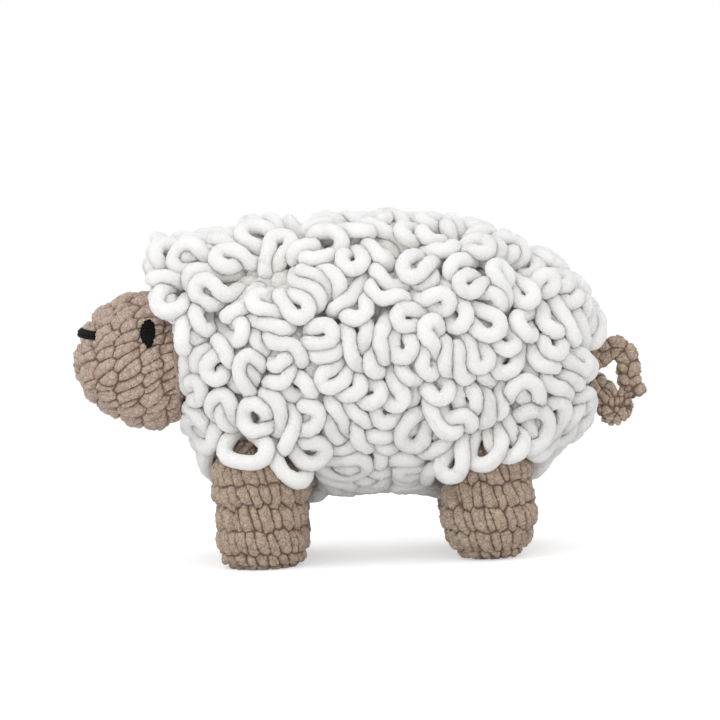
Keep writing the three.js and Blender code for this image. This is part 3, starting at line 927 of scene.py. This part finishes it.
for pair, sizes in leg_sizes.items():
    for hand, side in (("left", -1), ("right", 1)):
        top = joint_at[f"{pair}_{hand}_swing"]
        outline = leg_profile(*sizes, top[2])
        middle = Vector((top[0], top[1], 0))
        chance = np.random.default_rng(len(pair) * 3 + side)
        core = bmesh.new()
        rim = []
        whole = sum(math.dist(a, b) for a, b in zip(outline, outline[1:]))
        for i in range(41):
            r, z, _, _ = along_profile(outline, i / 40 * whole)
            rim.append(core.verts.new((middle.x + r, middle.y, z)))
        edges = [core.edges.new(pair_of) for pair_of in zip(rim, rim[1:])]
        bmesh.ops.spin(
            core, geom=rim + edges, cent=middle, axis=(0, 0, 1), angle=2 * math.pi, steps=32, use_merge=True
        )
        bmesh.ops.remove_doubles(core, verts=core.verts, dist=1e-5)
        bmesh.ops.recalc_face_normals(core, faces=core.faces)
        lumps = []
        way = outline[1][0] - 0.0035
        row = 0
        while True:
            rope = row < rope_rounds
            height = rope_height if rope else round_height
            r, z, _, _ = along_profile(outline, way + height / 2)
            if z > outline[-1][1] - bare_top:
                break
            count = max(5, round(2 * math.pi * r / stitch_width))
            for stitch in range(count * 2):
                fat = stitch % 2 == 0
                phi = (stitch + 0.5 * (row % 2) + chance.normal(scale=0.12)) * math.pi / count
                shift = chance.normal(scale=0.0003 if rope else 0.0007)
                r, z, dr, dz = along_profile(outline, way + height / 2 + shift)
                out = Vector((math.cos(phi) * dz, math.sin(phi) * dz, -dr))
                up = Vector((math.cos(phi) * dr, math.sin(phi) * dr, dz))
                around = Vector((-math.sin(phi), math.cos(phi), 0))
                place = middle + Vector((math.cos(phi) * r, math.sin(phi) * r, z))
                slant = math.radians(chance.normal(76, 5) if rope else chance.normal(26 if fat else 12, 8))
                along = -up * math.cos(slant) + around * math.sin(slant)
                size = chance.normal(1, 0.1)
                wide = rope_half_width if rope else fat_half if fat else thin_half
                lumps.append((place, along, out, (rope_half if rope else stitch_half) * size, wide * size))
            way += height
            row += 1
        leg = worked_fabric(f"{pair}_{hand}_leg", core, lumps, fine_skin, proud=-0.0006, flat_at=0)
        # The legs take the copy of the tan yarn painted darker as shade.
        leg.data.materials.append(shaded_tan_yarn)
        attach(leg, f"{pair}_{hand}_leg")
        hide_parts(f"{pair}_{hand}_leg_cover", f"{pair}_{hand}_leg_stuffing")
        press = Vector((0, -top[1], body_height - top[2])).normalized()
        whip_stitch(
            f"{pair}_{hand}_leg_seam", f"{pair}_{hand}_hip", top, press, sizes[-1] + 0.0014,
            angle=34, thick=0.0008, stitches=14, yarn=shaded_tan_yarn,
        )


# The tail: a flat strap of single crochet in the tan yarn that leaves the rump, bows round in one
# loose loop and doubles back behind its own wide, knotted end.
tail_bow = (
    (-0.004, 0.0005, 0.0005), (0.004, 0.001, 0.0024), (0.012, 0.002, 0.0067), (0.0188, 0.0025, 0.0104),
    (0.0242, 0.0025, 0.0074), (0.0256, 0.002, 0), (0.026, 0.002, -0.007), (0.028, 0.002, -0.0128),
)
tail_end = (
    (-0.004, -0.001, -0.001), (0.0025, -0.0025, -0.0042), (0.0088, -0.003, -0.0092),
    (0.0135, -0.003, -0.0142), (0.017, -0.003, -0.018),
)
tail_knob = Vector(tail_root) + Vector((0.0175, -0.003, -0.0188))
knob_half = (0.0092, 0.0046, 0.0088)
strap_half = 0.0028
strap_stitch_half = (0.0048, 0.0036)
knob_lumps = 34
knob_stitch_half = (0.0042, 0.0027)


def along_path(points, steps):
    """Places and directions at even steps along a smooth path."""
    dense = []
    ends = [points[0] * 2 - points[1], *points, points[-1] * 2 - points[-2]]
    for a, b, c, d in zip(ends, ends[1:], ends[2:], ends[3:]):
        for i in range(12):
            t = i / 12
            dense.append(0.5 * (
                (2 * b) + (c - a) * t + (2 * a - 5 * b + 4 * c - d) * t * t + (3 * b - a - 3 * c + d) * t**3
            ))
    dense.append(points[-1])
    lengths = np.cumsum([0] + [(q - p).length for p, q in zip(dense, dense[1:])])
    places = []
    for way in np.linspace(0, lengths[-1], steps):
        i = min(int(np.searchsorted(lengths, way, "right")) - 1, len(dense) - 2)
        share = (way - lengths[i]) / (lengths[i + 1] - lengths[i])
        places.append((dense[i].lerp(dense[i + 1], share), (dense[i + 1] - dense[i]).normalized()))
    return places


chance = np.random.default_rng(29)
core = bmesh.new()
lumps = []
for path, columns in ((tail_bow, (-0.0038, 0.0038)), (tail_end, (-0.0052, 0, 0.0052))):
    points = [Vector(tail_root) + Vector(point) for point in path]
    whole = sum((b - a).length for a, b in zip(points, points[1:]))
    for place, ahead in along_path(points, round(whole / 0.0015)):
        across = ahead.cross(Vector((0, 1, 0))).normalized()
        flat = Matrix((across * (columns[-1] + strap_half), Vector((0, strap_half, 0)), ahead * 0.003))
        put = Matrix.Translation(place) @ flat.transposed().to_4x4()
        bmesh.ops.create_icosphere(core, subdivisions=2, radius=1, matrix=put)
    for place, ahead in along_path(points, round(whole / 0.006)):
        across = ahead.cross(Vector((0, 1, 0))).normalized()
        for face in (-1, 1):
            for aside in columns:
                slip = ahead * chance.normal(scale=0.0008)
                spot = place + across * aside + Vector((0, face * 0.0024, 0)) + slip
                along = ahead + across * chance.normal(0.8 if aside < 0 else -0.5, 0.3)
                size = chance.normal(1, 0.12)
                half, half_width = strap_stitch_half
                lumps.append((spot, along, Vector((0, face, 0)), half * size, half_width * size))
for _ in range(knob_lumps):
    out = Vector(chance.normal(size=3)).normalized()
    spot = tail_knob + Vector((out.x * knob_half[0], out.y * 0.005, out.z * knob_half[2]))
    lumps.append((spot, Vector(chance.normal(size=3)), out, *knob_stitch_half))
knob = Matrix.Translation(tail_knob) @ Matrix.Diagonal((*knob_half, 1))
bmesh.ops.create_icosphere(core, subdivisions=4, radius=1, matrix=knob)
tail = worked_fabric("tail", core, lumps, fine_skin, proud=-0.0002, rise=0.0012, crease=0.001)
# The tail takes the copy of the tan yarn painted darker as shade.
tail.data.materials.append(shaded_tan_yarn)
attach(tail, "tail")
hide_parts("tail_strap")
whip_stitch(
    "tail_seam", "tail_root", tail_root, Vector((-1, 0, 0)), 0.0065 + 0.0015,
    angle=65, thick=0.0008, stitches=8, yarn=shaded_tan_yarn,
)
